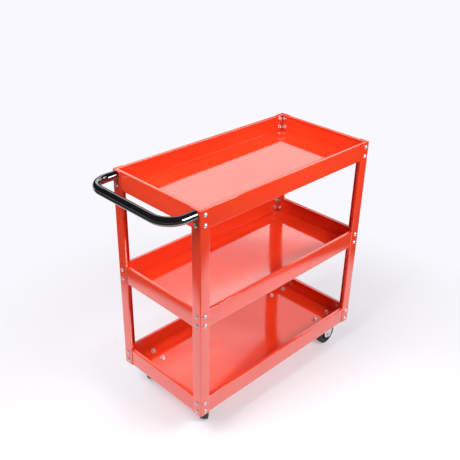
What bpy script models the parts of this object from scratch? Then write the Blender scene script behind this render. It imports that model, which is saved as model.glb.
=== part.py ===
"""Three-tier steel tool cart on four casters.

Three pressed trays are bolted between four corner posts.  A round tube handle is bolted to
the two posts of one short end.  The casters under the handle end swivel, the other two are
rigid.  Units are metres, +Z is up, the handle points to -X and the origin is on the floor,
under the middle of the cart's overall box.
"""
import math

import bmesh
import bpy
from mathutils import Matrix, Vector

# ---- driving dimensions -------------------------------------------------------------------
GAP = 0.0003                    # clearance between pieces that touch

BODY_LENGTH = 0.700             # over the outer faces of the posts, along X
BODY_WIDTH = 0.354              # over the outer faces of the posts, along Y
POST_HEIGHT = 0.665
CASTER_HEIGHT = 0.094           # floor to the underside of the posts and the bottom tray

POST_LEG = 0.034                # width of each leg of a corner post
POST_SHEET = 0.002
POST_LIP = 0.009                # inward return along the free edge of each leg
POST_CORNER_RADIUS = 0.0025
POST_EDGE_RADIUS = 0.0028
LIP_NOTCH_MARGIN = 0.001        # the lips stop this far above and below each tray

TRAY_DEPTH = 0.057
TRAY_SHEET = 0.0012
TRAY_FLANGE = 0.011             # flat rim folded inwards along the top of the walls
TRAY_FLANGE_LIP = 0.003         # the rim's inner edge turns down by this much
TRAY_CORNER_RADIUS = 0.004
TRAY_FOOT_RADIUS = 0.002        # bend between wall and floor
TRAY_RIM_RADIUS = 0.0016        # bend between wall and rim

SCREW_FROM_CORNER = 0.0165      # screw axis to the outer corner of its post
SCREW_FROM_RIM = 0.0135         # upper screw axis below the top of the tray
SCREW_SPACING = 0.030

HANDLE_RADIUS = 0.0127
HANDLE_WALL = 0.0015
HANDLE_REACH = 0.089            # bar's centreline from the posts' outer faces
HANDLE_BEND = 0.0565            # bend radius of the centreline
HANDLE_PLUG_LENGTH = 0.020

CASTER_X = 0.292                # swivel axis or bracket centre from the body's centre
CASTER_Y = 0.1265
CASTER_HOLES_X = 0.064          # bolt pattern of every caster plate
CASTER_HOLES_Y = 0.0475
PLATE_LENGTH = 0.084
PLATE_WIDTH = 0.066
PLATE_SHEET = 0.0025
PLATE_CORNER_RADIUS = 0.006
SWIVEL_TRAIL = 0.030            # axle behind the swivel axis
SWIVEL_HEADING = math.radians(42)   # way the trailing wheels point, from +X towards +Y

WHEEL_RADIUS = 0.0375
TYRE_WIDTH = 0.0245
TYRE_SEAT_RADIUS = 0.0268       # where the tyre sits on the wheel's rim
HUB_WIDTH = 0.0278
FORK_SHEET = 0.0025
FORK_INSIDE = 0.030             # between the two fork legs
AXLE_RADIUS = 0.004
BUSH_RADIUS = 0.0055

RACE_THICKNESS = 0.005          # ball race between the caster plate and the swivelling cup
RACE_CIRCLE = 0.017
RACE_SIDES = 24
CUP_INNER_RADIUS = 0.0135
CUP_OUTER_RADIUS = 0.0215
CUP_SHEET = 0.0015
KINGPIN_RADIUS = 0.005
KINGPIN_HEAD_RADIUS = 0.009
KINGPIN_HEAD_HEIGHT = 0.003

ROUND_SIDES = 24                # facets of a wheel
TUBE_SIDES = 12
SCREW_SIDES = 8

# ---- sizes that follow from the driving dimensions ----------------------------------------
SMALL_SCREW = {"shank": 0.003, "head": 0.0062, "head_height": 0.0044}
LARGE_SCREW = {"shank": 0.004, "head": 0.0073, "head_height": 0.0058}
SMALL_NUT_HEIGHT = 0.005
LARGE_NUT = {"across_flats": 0.013, "height": 0.0065}
SCREW_END = 0.0015              # thread that stands out of a nut

BODY_X = (HANDLE_REACH + HANDLE_RADIUS) / 2     # middle of the posts, from the origin
BASE_Z = CASTER_HEIGHT
HALF_LENGTH = BODY_LENGTH / 2
HALF_WIDTH = BODY_WIDTH / 2
TRAY_INSET = POST_SHEET + GAP   # tray wall behind the posts' outer faces
TRAY_TOPS = {
    "tray_bottom": TRAY_DEPTH,
    "tray_middle": (TRAY_DEPTH + POST_HEIGHT) / 2,
    "tray_top": POST_HEIGHT,
}
HANDLE_Z = POST_HEIGHT - SCREW_FROM_RIM
HANDLE_Y = HALF_WIDTH - SCREW_FROM_CORNER
AXLE_DROP = CASTER_HEIGHT - WHEEL_RADIUS    # axle below the caster plate's seat
CORNERS = {
    "handle_left": (-1, 1),
    "handle_right": (-1, -1),
    "front_left": (1, 1),
    "front_right": (1, -1),
}


# ---- scene and material helpers -----------------------------------------------------------
def clear_scene():
    for item in list(bpy.data.objects):
        bpy.data.objects.remove(item, do_unlink=True)


def make_material(name, color, roughness, metallic):
    """Return a Principled material with one colour, roughness and metallic value."""
    material = bpy.data.materials.new(name)
    material.use_nodes = True
    shader = material.node_tree.nodes["Principled BSDF"]
    shader.inputs["Base Color"].default_value = (*color, 1.0)
    shader.inputs["Roughness"].default_value = roughness
    shader.inputs["Metallic"].default_value = metallic
    return material


def add_object(name, shape, material, location=(0, 0, 0), parent=None, smooth=False):
    """Turn a bmesh into an object with outward faces; the bmesh is in the object's own frame."""
    bmesh.ops.recalc_face_normals(shape, faces=shape.faces)
    mesh = bpy.data.meshes.new(name)
    shape.to_mesh(mesh)
    shape.free()
    mesh.materials.append(material)
    if smooth:
        mesh.shade_smooth()
        mesh.set_sharp_from_angle(angle=math.radians(35))
    item = bpy.data.objects.new(name, mesh)
    item.location = location
    item.parent = parent
    bpy.context.scene.collection.objects.link(item)
    return item


def add_axis(name, location, heading=0.0, parent=None):
    """Add an empty that marks a joint's axis and carries the pieces that move with it."""
    axis = bpy.data.objects.new(name, None)
    axis.location = location
    axis.rotation_euler = (0, 0, heading)
    axis.parent = parent
    bpy.context.scene.collection.objects.link(axis)
    return axis


def add_cutter(name, shape, location=(0, 0, 0), parent=None):
    """Add a mesh that only serves a Boolean modifier."""
    cutter = add_object(name, shape, RED_PAINT, location, parent)
    cutter.hide_render = True
    cutter.display_type = "WIRE"
    return cutter


def cut(item, cutter, operation="DIFFERENCE"):
    modifier = item.modifiers.new(cutter.name, "BOOLEAN")
    modifier.operation = operation
    modifier.object = cutter


# ---- shape helpers ------------------------------------------------------------------------
def arc_points(centre, radius, start, end, steps):
    """Points on an arc, angles in degrees, both ends included."""
    angles = [math.radians(start + (end - start) * i / steps) for i in range(steps + 1)]
    return [(centre[0] + radius * math.cos(a), centre[1] + radius * math.sin(a)) for a in angles]


def prism(outline, low, high, axes="XYZ"):
    """Extrude a flat outline from low to high; axes says where outline u, v and height go."""
    shape = bmesh.new()
    order = ["XYZ".index(letter) for letter in axes]

    def place(u, v, w):
        spot = [0.0, 0.0, 0.0]
        for index, value in zip(order, (u, v, w)):
            spot[index] = value
        return shape.verts.new(spot)

    bottom = [place(u, v, low) for u, v in outline]
    top = [place(u, v, high) for u, v in outline]
    shape.faces.new(bottom)
    shape.faces.new(top)
    count = len(outline)
    for i in range(count):
        j = (i + 1) % count
        shape.faces.new((bottom[i], bottom[j], top[j], top[i]))
    return shape


def box(low, high):
    outline = [(low[0], low[1]), (high[0], low[1]), (high[0], high[1]), (low[0], high[1])]
    return prism(outline, low[2], high[2])


def rounded_rectangle(length, width, radius, steps=2):
    """Outline of a rectangle centred on the origin, with round corners."""
    outline = []
    for quarter, (sx, sy) in enumerate(((1, 1), (-1, 1), (-1, -1), (1, -1))):
        centre = (sx * (length / 2 - radius), sy * (width / 2 - radius))
        outline += arc_points(centre, radius, 90 * quarter, 90 * quarter + 90, steps)
    return outline


def turned(profile, sides, closed=False, phase=0.0):
    """Turn a profile of (radius, height) points about Z.

    A closed profile goes once round a ring; an open one starts and ends on the axis side and
    is capped with flat faces.
    """
    shape = bmesh.new()
    rings = []
    for radius, height in profile:
        ring = []
        for i in range(sides):
            angle = 2 * math.pi * (i + phase) / sides
            spot = (radius * math.cos(angle), radius * math.sin(angle), height)
            ring.append(shape.verts.new(spot))
        rings.append(ring)
    pairs = list(zip(rings, rings[1:]))
    if closed:
        pairs.append((rings[-1], rings[0]))
    else:
        shape.faces.new(rings[0])
        shape.faces.new(rings[-1])
    for lower, upper in pairs:
        for i in range(sides):
            j = (i + 1) % sides
            shape.faces.new((lower[i], lower[j], upper[j], upper[i]))
    return shape


def outside_radius(inside_radius, sides):
    """Corner radius of a regular polygon whose flats lie at inside_radius."""
    return inside_radius / math.cos(math.pi / sides)


def merged(parts):
    """Join (bmesh, matrix) pairs into one bmesh of separate solids."""
    whole = bmesh.new()
    for shape, matrix in parts:
        shape.transform(matrix)
        mesh = bpy.data.meshes.new("merge_step")
        shape.to_mesh(mesh)
        shape.free()
        whole.from_mesh(mesh)
        bpy.data.meshes.remove(mesh)
    return whole


def pointing(location, direction):
    """Matrix that stands a piece made along +Z at a place, along a direction."""
    turn = Vector((0, 0, 1)).rotation_difference(Vector(direction)).to_matrix().to_4x4()
    return Matrix.Translation(location) @ turn


def screw(size, length):
    """Screw along Z: its head's seat is at 0, the head is above and the shank below."""
    head = size["head"]
    top = size["head_height"]
    profile = [
        (size["shank"], -length),
        (size["shank"], 0.0),
        (head, 0.0),
        (head * 0.72, top),
    ]
    return turned(profile, SCREW_SIDES)


def hex_nut(size, shank_radius):
    """Hexagon nut on Z, from 0 down."""
    outer = outside_radius(size["across_flats"] / 2, 6)
    inner = outside_radius(shank_radius + GAP, 6)
    profile = [(inner, 0.0), (outer, 0.0), (outer, -size["height"]), (inner, -size["height"])]
    return turned(profile, 6, closed=True)


def hole_cutter(shank_radius, low, high):
    radius = outside_radius(shank_radius + GAP, SCREW_SIDES)
    return turned([(radius, low), (radius, high)], SCREW_SIDES)


# ---- places of the screws that join trays and posts ----------------------------------------
def tray_screw_places():
    """Every screw seat on the posts: (tray, corner, spot, outward direction, is_upper)."""
    places = []
    for tray, top in TRAY_TOPS.items():
        for corner, (sx, sy) in CORNERS.items():
            for row in range(2):
                height = BASE_Z + top - SCREW_FROM_RIM - row * SCREW_SPACING
                end_face = Vector((
                    BODY_X + sx * HALF_LENGTH,
                    sy * (HALF_WIDTH - SCREW_FROM_CORNER),
                    height,
                ))
                side_face = Vector((
                    BODY_X + sx * (HALF_LENGTH - SCREW_FROM_CORNER),
                    sy * HALF_WIDTH,
                    height,
                ))
                places.append((tray, corner, end_face, Vector((sx, 0, 0)), row == 0))
                places.append((tray, corner, side_face, Vector((0, sy, 0)), row == 0))
    return places


# ---- trays --------------------------------------------------------------------------------
def tray_section():
    """Half section of a tray as (inset from the wall's outer face, height) points."""
    foot = TRAY_FOOT_RADIUS
    rim = TRAY_RIM_RADIUS
    sheet = TRAY_SHEET
    top = TRAY_DEPTH
    lip_bottom = top - TRAY_FLANGE_LIP
    points = arc_points((foot, foot), foot, 270, 180, 2)
    points += arc_points((rim, top - rim), rim, 180, 90, 2)
    points += [
        (TRAY_FLANGE - 0.0006, top),
        (TRAY_FLANGE, top - 0.0006),
        (TRAY_FLANGE, lip_bottom),
        (TRAY_FLANGE - sheet, lip_bottom),
        (TRAY_FLANGE - sheet, top - sheet),
        (sheet, top - sheet),
        (sheet, sheet),
    ]
    return points


def tray_shape():
    """Open pan with a rim folded inwards, its underside at z = 0."""
    length = BODY_LENGTH - 2 * TRAY_INSET
    width = BODY_WIDTH - 2 * TRAY_INSET
    shape = bmesh.new()
    rings = []
    for inset, height in tray_section():
        radius = max(TRAY_CORNER_RADIUS - inset, 0.0006)
        outline = rounded_rectangle(length - 2 * inset, width - 2 * inset, radius)
        rings.append([shape.verts.new((x, y, height)) for x, y in outline])
    for lower, upper in zip(rings, rings[1:]):
        count = len(lower)
        for i in range(count):
            j = (i + 1) % count
            shape.faces.new((lower[i], lower[j], upper[j], upper[i]))
    shape.faces.new(rings[0])
    shape.faces.new(rings[-1])
    return shape


def add_trays(screw_holes, caster_holes):
    for name, top in TRAY_TOPS.items():
        height = BASE_Z + top - TRAY_DEPTH
        tray = add_object(name, tray_shape(), RED_PAINT, (BODY_X, 0, height))
        cut(tray, screw_holes)
        if name == "tray_bottom":
            cut(tray, caster_holes)


# ---- corner posts -------------------------------------------------------------------------
def post_outline(sx, sy):
    """Section of a lipped corner post, its outer corner at the origin, legs pointing inwards."""
    leg = POST_LEG
    lip = POST_LIP
    sheet = POST_SHEET
    bend = POST_EDGE_RADIUS
    corner = POST_CORNER_RADIUS
    points = [(lip, leg)]
    points += arc_points((bend, leg - bend), bend, 90, 180, 2)
    points += arc_points((corner, corner), corner, 180, 270, 2)
    points += arc_points((leg - bend, bend), bend, 270, 360, 2)
    points += [
        (leg, lip),
        (leg - sheet, lip),
        (leg - sheet, sheet),
        (sheet, sheet),
        (sheet, leg - sheet),
        (lip, leg - sheet),
    ]
    return [(-sx * u, -sy * v) for u, v in points]


def lip_notches(sx, sy):
    """Boxes that take the lips away where a tray wall lies against the legs."""
    parts = []
    inner = POST_SHEET
    far = POST_LEG + 0.001
    near = POST_LEG - POST_SHEET - 0.001
    deep = POST_LIP + 0.001
    for top in TRAY_TOPS.values():
        low = top - TRAY_DEPTH - LIP_NOTCH_MARGIN
        high = top + LIP_NOTCH_MARGIN
        for u_range, v_range in (((inner, deep), (near, far)), ((near, far), (inner, deep))):
            xs = sorted(-sx * u for u in u_range)
            ys = sorted(-sy * v for v in v_range)
            shape = box((xs[0], ys[0], low), (xs[1], ys[1], high))
            parts.append((shape, Matrix.Identity(4)))
    return merged(parts)


def add_posts(screw_holes):
    for corner, (sx, sy) in CORNERS.items():
        spot = (BODY_X + sx * HALF_LENGTH, sy * HALF_WIDTH, BASE_Z)
        shape = prism(post_outline(sx, sy), 0.0, POST_HEIGHT)
        post = add_object("post_" + corner, shape, RED_PAINT, spot)
        notches = add_cutter("notches_" + corner, lip_notches(sx, sy), spot)
        cut(post, notches)
        cut(post, screw_holes)


# ---- screws of the frame -------------------------------------------------------------------
def add_frame_screws():
    """One screw for each joint of a tray and a post, through the upper hole of the long side."""
    length = GAP + POST_SHEET + GAP + TRAY_SHEET + SMALL_NUT_HEIGHT + SCREW_END
    for tray, corner, spot, direction, is_upper in tray_screw_places():
        if not is_upper or direction.x != 0:
            continue
        shape = screw(SMALL_SCREW, length)
        shape.transform(pointing((0, 0, 0), direction))
        name = "screw_" + tray.replace("tray_", "") + "_" + corner
        add_object(name, shape, ZINC, spot + direction * GAP, smooth=True)


def frame_hole_shapes():
    parts = []
    for place in tray_screw_places():
        spot, direction = place[2], place[3]
        shape = hole_cutter(SMALL_SCREW["shank"], -0.006, 0.002)
        parts.append((shape, pointing(spot, direction)))
    return merged(parts)


# ---- handle -------------------------------------------------------------------------------
def handle_path():
    """Centreline of the handle as (point, direction of travel) pairs, from -Y to +Y."""
    start_x = BODY_X - HALF_LENGTH - GAP
    bar_x = BODY_X - HALF_LENGTH - HANDLE_REACH
    steps = 7
    path = [(Vector((start_x, -HANDLE_Y, 0)), Vector((-1, 0, 0)))]
    for side in (-1, 1):
        centre = Vector((bar_x + HANDLE_BEND, side * (HANDLE_Y - HANDLE_BEND), 0))
        for i in range(steps + 1):
            angle = math.pi / 2 * (i / steps if side < 0 else 1 - i / steps)
            out = Vector((-math.sin(angle), side * math.cos(angle), 0))
            along = Vector((-math.cos(angle), 0, 0)) + Vector((0, math.sin(angle), 0))
            if side > 0:
                along.x = -along.x
            path.append((centre + out * HANDLE_BEND, along))
    path.append((Vector((start_x, HANDLE_Y, 0)), Vector((1, 0, 0))))
    return path


def handle_shape():
    """Hollow tube swept along the handle's centreline, open at both ends."""
    shape = bmesh.new()
    up = Vector((0, 0, 1))
    skins = []
    for radius in (HANDLE_RADIUS, HANDLE_RADIUS - HANDLE_WALL):
        rings = []
        for point, along in handle_path():
            across = along.cross(up).normalized()
            ring = []
            for i in range(TUBE_SIDES):
                angle = 2 * math.pi * i / TUBE_SIDES
                offset = across * math.cos(angle) + up * math.sin(angle)
                ring.append(shape.verts.new(point + offset * radius))
            rings.append(ring)
        skins.append(rings)
    outer, inner = skins
    for rings in skins:
        for first, second in zip(rings, rings[1:]):
            for i in range(TUBE_SIDES):
                j = (i + 1) % TUBE_SIDES
                shape.faces.new((first[i], first[j], second[j], second[i]))
    for end in (0, -1):
        for i in range(TUBE_SIDES):
            j = (i + 1) % TUBE_SIDES
            shape.faces.new((outer[end][i], outer[end][j], inner[end][j], inner[end][i]))
    return shape


def add_handle():
    height = BASE_Z + HANDLE_Z
    add_object("handle_tube", handle_shape(), BLACK_PAINT, (0, 0, height), smooth=True)
    face_x = BODY_X - HALF_LENGTH
    plug_radius = (HANDLE_RADIUS - HANDLE_WALL) * math.cos(math.pi / TUBE_SIDES) - GAP
    bore = outside_radius(SMALL_SCREW["shank"] + GAP, TUBE_SIDES)
    for side, sy in (("right", -1), ("left", 1)):
        ring = [(bore, 0.0), (plug_radius, 0.0), (plug_radius, HANDLE_PLUG_LENGTH),
                (bore, HANDLE_PLUG_LENGTH)]
        plug = turned(ring, TUBE_SIDES, closed=True)
        plug.transform(pointing((0, 0, 0), (-1, 0, 0)))
        spot = (face_x - GAP, sy * HANDLE_Y, height)
        add_object("handle_plug_" + side, plug, ZINC, spot, smooth=True)
        seat = (face_x + POST_SHEET + GAP + TRAY_SHEET + GAP, sy * HANDLE_Y, height)
        length = POST_SHEET + TRAY_SHEET + 3 * GAP + HANDLE_PLUG_LENGTH * 0.8
        shape = screw(SMALL_SCREW, length)
        shape.transform(pointing((0, 0, 0), (1, 0, 0)))
        add_object("handle_screw_" + side, shape, ZINC, seat, smooth=True)


# ---- casters ------------------------------------------------------------------------------
def caster_centre(corner):
    sx, sy = CORNERS[corner]
    return Vector((BODY_X + sx * CASTER_X, sy * CASTER_Y, BASE_Z))


def caster_hole_offsets():
    return [(sx * CASTER_HOLES_X / 2, sy * CASTER_HOLES_Y / 2) for sx in (-1, 1) for sy in (-1, 1)]


def caster_hole_shapes():
    parts = []
    for corner in CORNERS:
        for dx, dy in caster_hole_offsets():
            spot = caster_centre(corner) + Vector((dx, dy, 0))
            parts.append((hole_cutter(LARGE_SCREW["shank"], -0.006, 0.004),
                          Matrix.Translation(spot)))
    return merged(parts)


def add_caster_screw(corner):
    """The innermost of a caster's four screws, put in from inside the bottom tray."""
    seat = TRAY_SHEET + GAP
    length = seat + 2 * GAP + PLATE_SHEET + LARGE_NUT["height"] + SCREW_END
    sx, sy = CORNERS[corner]
    offset = Vector((-sx * CASTER_HOLES_X / 2, -sy * CASTER_HOLES_Y / 2, seat))
    shape = screw(LARGE_SCREW, length)
    add_object("caster_screw_" + corner, shape, ZINC, caster_centre(corner) + offset,
               smooth=True)


def plate_shape():
    outline = rounded_rectangle(PLATE_LENGTH, PLATE_WIDTH, PLATE_CORNER_RADIUS)
    return prism(outline, -GAP - PLATE_SHEET, -GAP)


def wheel_shapes():
    """Wheel core and tyre about Z, both rings; a flat facet of the tyre faces sideways."""
    bore = outside_radius(BUSH_RADIUS + GAP, ROUND_SIDES)
    seat = TYRE_SEAT_RADIUS
    half = HUB_WIDTH / 2
    core = [
        (bore, -half), (0.011, -half), (0.0125, -0.009), (seat - GAP, -0.011),
        (seat - GAP, 0.011), (0.0125, 0.009), (0.011, half), (bore, half),
    ]
    side = TYRE_WIDTH / 2
    tread = outside_radius(WHEEL_RADIUS, ROUND_SIDES)
    inner = outside_radius(seat, ROUND_SIDES)
    tyre = [
        (inner, -side), (tread - 0.003, -side), (tread, -side * 0.62),
        (tread, side * 0.62), (tread - 0.003, side), (inner, side),
    ]
    return (turned(core, ROUND_SIDES, closed=True, phase=0.5),
            turned(tyre, ROUND_SIDES, closed=True, phase=0.5))


def add_wheel(corner, axle_spot, heading, parent):
    """Wheel core, tyre, bush, axle bolt and nut; the axle lies across the heading."""
    lie_down = Matrix.Rotation(math.radians(90), 4, "X")
    turn = Matrix.Identity(4) if parent else Matrix.Rotation(heading, 4, "Z")
    core, tyre = wheel_shapes()
    for name, shape, material in (("wheel_core_", core, HUB_PLASTIC),
                                  ("tyre_", tyre, RUBBER)):
        shape.transform(turn @ lie_down)
        add_object(name + corner, shape, material, axle_spot, parent, smooth=True)

    half = FORK_INSIDE / 2 - GAP
    inner = outside_radius(AXLE_RADIUS + GAP, TUBE_SIDES)
    bush = turned([(inner, -half), (BUSH_RADIUS, -half), (BUSH_RADIUS, half), (inner, half)],
                  TUBE_SIDES, closed=True)
    bush.transform(turn @ lie_down)
    add_object("axle_bush_" + corner, bush, ZINC, axle_spot, parent, smooth=True)

    outside = FORK_INSIDE / 2 + FORK_SHEET
    length = 2 * outside + 2 * GAP + LARGE_NUT["height"] + SCREW_END
    bolt = screw(LARGE_SCREW, length)
    bolt.transform(Matrix.Translation((0, 0, outside + GAP)))
    bolt.transform(turn @ lie_down)
    add_object("axle_bolt_" + corner, bolt, ZINC, axle_spot, parent, smooth=True)
    nut = hex_nut(LARGE_NUT, LARGE_SCREW["shank"])
    nut.transform(Matrix.Translation((0, 0, -outside - GAP)))
    nut.transform(turn @ lie_down)
    add_object("axle_nut_" + corner, nut, ZINC, axle_spot, parent)


def axle_hole(axle_x):
    shape = hole_cutter(AXLE_RADIUS, -0.03, 0.03)
    lie_down = Matrix.Rotation(math.radians(90), 4, "X")
    return shape, Matrix.Translation((axle_x, 0, -AXLE_DROP)) @ lie_down


def swivel_fork_outline():
    """Side view of the swivel fork as (along, up): crown on top, axle boss behind and below."""
    crown_top = -crown_depth()
    boss = 0.011
    outline = [(-0.022, crown_top), (-0.022, crown_top - 0.008)]
    outline += arc_points((SWIVEL_TRAIL, -AXLE_DROP), boss, 200, 360, 6)
    outline += [(0.036, crown_top - 0.018), (0.026, crown_top - 0.006), (0.022, crown_top)]
    return outline


def crown_depth():
    """Depth of the fork crown's top face below the caster plate's seat."""
    plate_bottom = GAP + PLATE_SHEET
    return plate_bottom + GAP + RACE_THICKNESS + GAP + CUP_SHEET + GAP


def add_swivel_caster(corner):
    centre = caster_centre(corner)
    plate = add_object("swivel_plate_" + corner, plate_shape(), ZINC, centre)
    pin_hole_radius = outside_radius(KINGPIN_RADIUS + GAP, TUBE_SIDES)
    pin_hole = turned([(pin_hole_radius, -0.02), (pin_hole_radius, 0.002)], TUBE_SIDES)
    pin_cutter = add_cutter("pin_hole_" + corner, pin_hole, centre)
    cut(plate, CASTER_HOLES)
    cut(plate, pin_cutter)

    crown_bottom = -crown_depth() - FORK_SHEET
    pin = turned([
        (KINGPIN_HEAD_RADIUS * 0.7, crown_bottom - GAP - KINGPIN_HEAD_HEIGHT),
        (KINGPIN_HEAD_RADIUS, crown_bottom - GAP - KINGPIN_HEAD_HEIGHT * 0.4),
        (KINGPIN_HEAD_RADIUS, crown_bottom - GAP),
        (KINGPIN_RADIUS, crown_bottom - GAP),
        (KINGPIN_RADIUS, -2 * GAP),
    ], TUBE_SIDES)
    add_object("kingpin_" + corner, pin, ZINC, centre, smooth=True)

    axis = add_axis("swivel_axis_" + corner, centre, SWIVEL_HEADING)
    race_height = -GAP - PLATE_SHEET - GAP - RACE_THICKNESS / 2
    half = RACE_THICKNESS / 2
    race = []
    for i in range(8):
        angle = 2 * math.pi * (i + 0.5) / 8
        race.append((RACE_CIRCLE + half * math.cos(angle), race_height + half * math.sin(angle)))
    race_shape = turned(race, RACE_SIDES, closed=True)
    add_object("ball_race_" + corner, race_shape, ZINC, parent=axis, smooth=True)

    cup_floor = race_height - half - GAP
    cup_top = -GAP - PLATE_SHEET - 2 * GAP
    cup = [
        (CUP_INNER_RADIUS, cup_floor),
        (CUP_INNER_RADIUS, cup_floor - CUP_SHEET),
        (CUP_OUTER_RADIUS, cup_floor - CUP_SHEET),
        (CUP_OUTER_RADIUS, cup_top),
        (CUP_OUTER_RADIUS - CUP_SHEET, cup_top),
        (CUP_OUTER_RADIUS - CUP_SHEET, cup_floor),
    ]
    cup_shape = turned(cup, 2 * TUBE_SIDES, closed=True)
    add_object("swivel_cup_" + corner, cup_shape, ZINC, parent=axis, smooth=True)

    fork = add_object("swivel_fork_" + corner, fork_channel(), ZINC, parent=axis)
    reach = FORK_INSIDE / 2 + FORK_SHEET + 0.002
    side_view = prism(swivel_fork_outline(), -reach, reach, axes="XZY")
    cut(fork, add_cutter("fork_side_" + corner, side_view, parent=axis), "INTERSECT")
    holes = merged([
        (turned([(pin_hole_radius, -0.02), (pin_hole_radius, 0.002)], TUBE_SIDES),
         Matrix.Identity(4)),
        axle_hole(SWIVEL_TRAIL),
    ])
    cut(fork, add_cutter("fork_holes_" + corner, holes, parent=axis))
    add_wheel(corner, (SWIVEL_TRAIL, 0, -AXLE_DROP), SWIVEL_HEADING, axis)


def fork_channel():
    """Inverted U channel along X, the stock that the swivel fork is cut from."""
    inside = FORK_INSIDE / 2
    outside = inside + FORK_SHEET
    top = -crown_depth()
    low = -0.080
    outline = [
        (-outside, low), (-inside, low), (-inside, top - FORK_SHEET),
        (inside, top - FORK_SHEET), (inside, low), (outside, low),
        (outside, top - 0.0015), (outside - 0.0015, top),
        (-outside + 0.0015, top), (-outside, top - 0.0015),
    ]
    return prism(outline, -0.030, 0.050, axes="YZX")


def add_rigid_caster(corner):
    """Plate with two legs pressed down from it, and the wheel straight below."""
    centre = caster_centre(corner)
    bracket = add_object("rigid_bracket_" + corner, plate_shape(), ZINC, centre)
    plate_bottom = -GAP - PLATE_SHEET
    low_corner = 0.012
    end = -AXLE_DROP - 0.010
    leg = [(-0.024, plate_bottom + 0.001), (-0.019, -AXLE_DROP + 0.008)]
    leg += arc_points((-0.018 + low_corner, end + low_corner), low_corner, 180, 270, 3)
    leg += arc_points((0.018 - low_corner, end + low_corner), low_corner, 270, 360, 3)
    leg += [(0.019, -AXLE_DROP + 0.008), (0.024, plate_bottom + 0.001)]
    inside = FORK_INSIDE / 2
    legs = []
    for side in (-1, 1):
        low, high = sorted((side * inside, side * (inside + FORK_SHEET)))
        legs.append((prism(leg, low, high, axes="XZY"), Matrix.Identity(4)))
    cut(bracket, add_cutter("bracket_legs_" + corner, merged(legs), centre), "UNION")
    hole, matrix = axle_hole(0.0)
    cut(bracket, add_cutter("axle_hole_" + corner, merged([(hole, matrix)]), centre))
    cut(bracket, CASTER_HOLES)
    add_wheel(corner, centre + Vector((0, 0, -AXLE_DROP)), 0.0, None)


# ---- assembly -----------------------------------------------------------------------------
clear_scene()
RED_PAINT = make_material("red_powder_coat", (0.78, 0.055, 0.02), 0.22, 0.0)
BLACK_PAINT = make_material("black_gloss_paint", (0.012, 0.012, 0.013), 0.15, 0.0)
ZINC = make_material("bright_zinc", (0.72, 0.73, 0.75), 0.28, 1.0)
RUBBER = make_material("black_rubber", (0.03, 0.03, 0.033), 0.7, 0.0)
HUB_PLASTIC = make_material("black_plastic", (0.02, 0.02, 0.022), 0.45, 0.0)

SCREW_HOLES = add_cutter("frame_screw_holes", frame_hole_shapes())
CASTER_HOLES = add_cutter("caster_screw_holes", caster_hole_shapes())
add_trays(SCREW_HOLES, CASTER_HOLES)
add_posts(SCREW_HOLES)
add_frame_screws()
add_handle()
for name in CORNERS:
    add_caster_screw(name)
    if name.startswith("handle"):
        add_swivel_caster(name)
    else:
        add_rigid_caster(name)
bpy.context.view_layer.update()
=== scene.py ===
"""Looks of the three-tier tool cart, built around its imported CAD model.

The trays, posts, handle, screws and casters are rebuilt with fine bends, domes and rounded
edges at the CAD model's own size.  Metres, +Z up, the handle points to -X.
"""
import math

import bmesh
import bpy
from mathutils import Matrix, Vector


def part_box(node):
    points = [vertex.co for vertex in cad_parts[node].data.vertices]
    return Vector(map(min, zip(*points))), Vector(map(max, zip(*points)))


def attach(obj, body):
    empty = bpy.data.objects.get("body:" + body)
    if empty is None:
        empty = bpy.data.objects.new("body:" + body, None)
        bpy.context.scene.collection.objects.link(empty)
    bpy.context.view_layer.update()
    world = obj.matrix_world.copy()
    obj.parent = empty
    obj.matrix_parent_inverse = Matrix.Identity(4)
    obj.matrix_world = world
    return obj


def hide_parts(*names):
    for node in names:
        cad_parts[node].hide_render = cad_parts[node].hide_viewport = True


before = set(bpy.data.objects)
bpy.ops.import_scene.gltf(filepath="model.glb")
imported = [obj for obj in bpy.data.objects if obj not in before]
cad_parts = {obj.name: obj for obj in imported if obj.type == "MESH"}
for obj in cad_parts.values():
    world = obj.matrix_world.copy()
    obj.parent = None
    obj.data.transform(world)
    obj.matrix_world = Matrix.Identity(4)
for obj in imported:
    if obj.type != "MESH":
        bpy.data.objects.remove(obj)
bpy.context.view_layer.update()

# ---- sizes taken from the CAD nodes --------------------------------------------------------
BODY_MIN = Vector(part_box("post_handle_right")[0])
BODY_MAX = Vector(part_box("post_front_left")[1])
BODY_MID_X = (BODY_MIN.x + BODY_MAX.x) / 2
HALF_LENGTH = (BODY_MAX.x - BODY_MIN.x) / 2
HALF_WIDTH = (BODY_MAX.y - BODY_MIN.y) / 2
BASE_Z = BODY_MIN.z
TOP_Z = BODY_MAX.z
TRAY_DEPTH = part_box("tray_top")[1].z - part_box("tray_top")[0].z
TRAYS = ("tray_bottom", "tray_middle", "tray_top")
TRAY_TOPS = {name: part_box(name)[1].z for name in TRAYS}
CORNERS = {
    "handle_left": (-1, 1),
    "handle_right": (-1, -1),
    "front_left": (1, 1),
    "front_right": (1, -1),
}

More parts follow.
